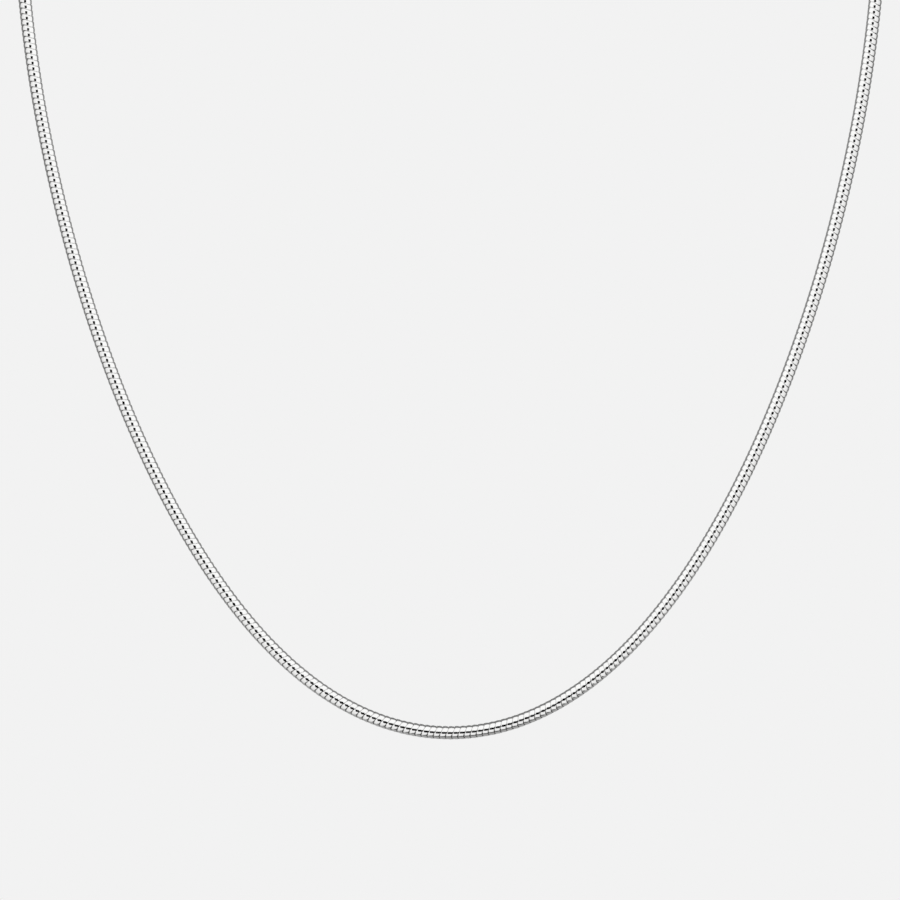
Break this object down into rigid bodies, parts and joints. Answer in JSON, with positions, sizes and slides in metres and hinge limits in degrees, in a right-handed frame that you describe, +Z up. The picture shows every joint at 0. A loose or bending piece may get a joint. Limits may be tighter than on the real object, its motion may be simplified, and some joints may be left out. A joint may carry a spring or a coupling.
{
  "type": "round snake chain necklace",
  "caption": "Polished silver round snake chain necklace, closed at the nape by end caps and a bolt ring clasp, kept in the form in which it hangs round a neck.",
  "frame": {"origin": "on the axis of the neck that wears it, midway between the two sides and level with the places where the loop is widest", "axes": "+X to the right as seen from in front, where the wearer's left shoulder is; +Y from the chest back to the nape; +Z up the neck"},
  "size_m": [0.1082, 0.1005, 0.1275],
  "materials": {
    "chain_silver": "bright polished silver, slightly darker in the seams between the links",
    "finding_silver": "bright polished silver with fine wear scratches"
  },
  "bodies": {
    "root": {"chain": "chain_silver", "end_cap_left": "finding_silver", "end_cap_right": "finding_silver", "clasp": "finding_silver"}
  },
  "joints": []
}
